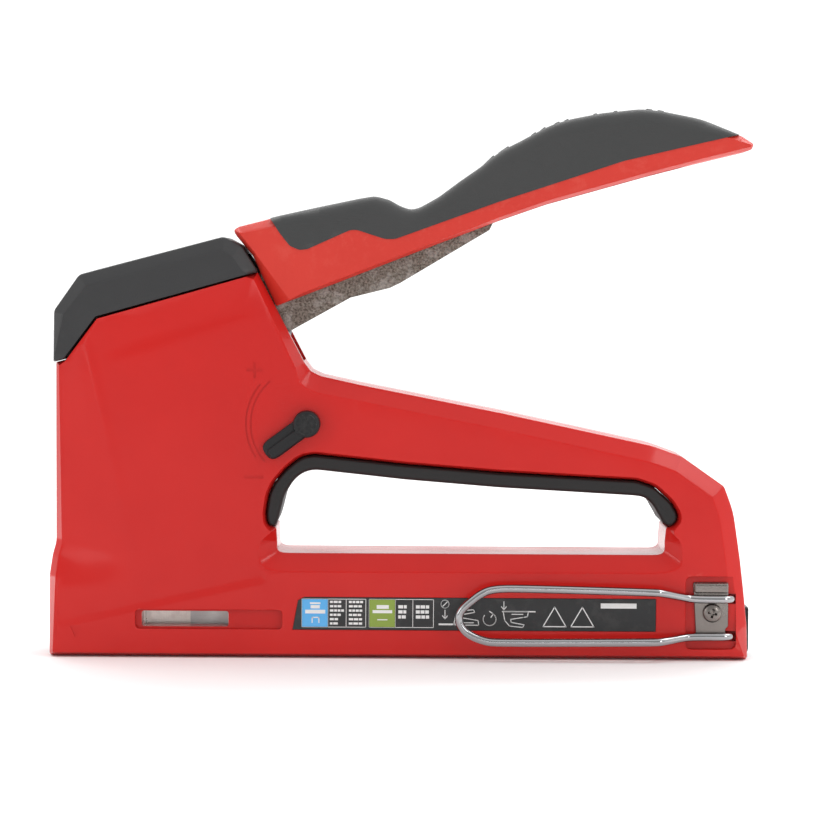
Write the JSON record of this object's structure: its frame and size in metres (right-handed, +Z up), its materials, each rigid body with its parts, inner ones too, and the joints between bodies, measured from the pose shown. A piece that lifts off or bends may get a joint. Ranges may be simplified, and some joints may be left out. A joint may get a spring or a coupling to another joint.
{
  "type": "staple gun",
  "caption": "Hand staple gun with a sprung squeeze lever above a finger opening, a power knob on its side, a pull-out magazine in its base and a wire belt hook.",
  "frame": {"origin": "on the sole, midway between the nose and the rear, in the plane where the two shells meet", "axes": "+X to the rear, +Z up away from the work, -Y towards the side with the power knob and the belt hook"},
  "size_m": [0.2081, 0.0381, 0.1621],
  "materials": {
    "housing_red": "gloss",
    "cap_grey": "satin",
    "rubber_grip": "matte",
    "screw_nickel": "satin",
    "label_black": "gloss",
    "guide_steel": "satin",
    "guide_plastic": "satin",
    "bumper_rubber": "matte",
    "track_steel": "satin",
    "pin_steel": "polished",
    "ring_plastic": "satin",
    "hook_chrome": "polished",
    "clip_steel": "satin",
    "spring_steel": "satin",
    "plunger_steel": "satin",
    "blade_steel": "polished",
    "lever_steel": "rough",
    "cover_red": "satin",
    "grip_soft": "matte",
    "bush_bronze": "satin",
    "knob_black": "satin",
    "end_plastic": "satin",
    "staple_steel": "satin",
    "pusher_steel": "satin"
  },
  "bodies": {
    "body": {"left_housing": "housing_red", "right_housing": "housing_red", "top_cap": "cap_grey", "grip_insert": "rubber_grip", "housing_screws": "screw_nickel", "left_label": "label_black", "right_label": "label_black", "nose_plate": "guide_steel", "guide_block": "guide_plastic", "plunger_bumper": "bumper_rubber", "spring_seat": "guide_steel", "magazine_track": "track_steel", "pivot_pin": "pin_steel", "pivot_rings": "ring_plastic", "belt_hook": "hook_chrome", "hook_clip": "clip_steel", "hook_screw": "screw_nickel", "hook_nut": "guide_steel", "knob_detent": "guide_steel", "power_spring": "spring_steel"},
    "plunger": {"plunger": "plunger_steel", "driver_blade": "blade_steel", "blade_pin": "pin_steel"},
    "lever": {"lever_arm": "lever_steel", "lever_cover": "cover_red", "lever_grip": "grip_soft", "cover_screws": "screw_nickel", "lever_roller": "pin_steel", "roller_pin": "pin_steel", "lever_bush": "bush_bronze", "return_spring": "spring_steel"},
    "knob": {"power_knob": "knob_black", "knob_shaft": "pin_steel", "knob_ring": "guide_steel"},
    "magazine": {"magazine_rail": "track_steel", "magazine_end": "end_plastic", "guide_rod": "pin_steel", "staple_stick": "staple_steel", "latch_pin": "pin_steel", "pusher_spring": "spring_steel", "latch_spring": "spring_steel"},
    "pusher": {"pusher": "pusher_steel"},
    "latch": {"magazine_latch": "end_plastic"}
  },
  "joints": [
    {"name": "lever_squeeze", "type": "hinge", "parent": "body", "child": "lever", "pos_m": [-0.03855, 0, 0.097], "axis": [0, 1, 0], "range_deg": [0, 30], "stiffness_Nm_per_rad": 8, "springref_deg": -14.32, "deforming": ["return_spring"]},
    {"name": "plunger_slide", "type": "slide", "parent": "body", "child": "plunger", "axis": [0, 0, 1], "range_m": [0, 0.0206], "deforming": ["power_spring"]},
    {"name": "knob_turn", "type": "hinge", "parent": "body", "child": "knob", "pos_m": [-0.0274, 0, 0.0695], "axis": [0, 1, 0], "range_deg": [-9.5, 82]},
    {"name": "magazine_slide", "type": "slide", "parent": "body", "child": "magazine", "axis": [1, 0, 0], "range_m": [0, 0.095]},
    {"name": "pusher_slide", "type": "slide", "parent": "magazine", "child": "pusher", "axis": [1, 0, 0], "range_m": [0, 0.085], "stiffness_N_per_m": 40, "springref_m": -0.06, "deforming": ["pusher_spring"]},
    {"name": "latch_press", "type": "hinge", "parent": "magazine", "child": "latch", "pos_m": [0.07375, 0, 0.0036], "axis": [0, -1, 0], "range_deg": [0, 5], "stiffness_Nm_per_rad": 0.6, "springref_deg": -5.73, "deforming": ["latch_spring"]}
  ],
  "couplings": [
    {"joint": "plunger_slide", "follows": "lever_squeeze", "m_per_rad": 0.039}
  ]
}
